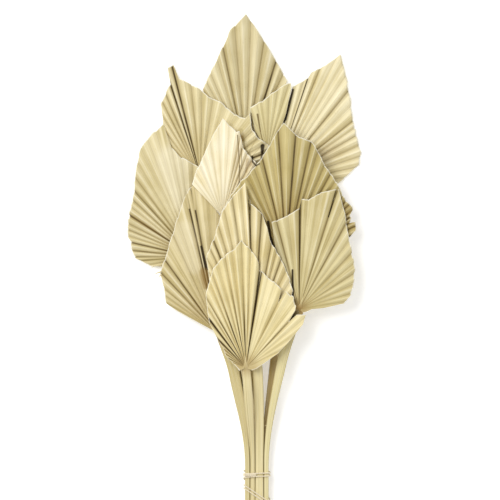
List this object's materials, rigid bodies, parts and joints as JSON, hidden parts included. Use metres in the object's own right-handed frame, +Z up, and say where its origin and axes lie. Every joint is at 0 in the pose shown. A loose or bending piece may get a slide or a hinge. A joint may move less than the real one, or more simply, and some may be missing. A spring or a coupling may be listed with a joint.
{
  "type": "bunch of dried fan palm leaves",
  "caption": "Tied bunch of dried fan palm leaves cut to spear shapes: pleated blades overlap like shingles above a bundle of flat stems that twine holds together.",
  "frame": {"origin": "on the surface that the bunch lies on, under the middle of its bounding box", "axes": "+Z up from the surface to the bunch's front, +Y along the bunch from the cut stems to the leaf tips, +X to the right seen from above with the tips up"},
  "size_m": [0.281, 0.6064, 0.0475],
  "materials": {
    "cream_leaf": "matt, dried and fibrous",
    "olive_leaf": "matt, dried and fibrous",
    "pale_leaf": "matt, dried and fibrous",
    "twine": "matt, twisted fibre"
  },
  "bodies": {
    "root": {"leaf_top": "olive_leaf", "leaf_upper_right": "cream_leaf", "leaf_upper_left": "cream_leaf", "leaf_top_small": "olive_leaf", "leaf_left": "cream_leaf", "leaf_left_low": "cream_leaf", "leaf_pale": "pale_leaf", "leaf_right_middle": "olive_leaf", "leaf_right": "cream_leaf", "leaf_centre": "cream_leaf", "leaf_front": "cream_leaf", "twine": "twine"}
  },
  "joints": []
}
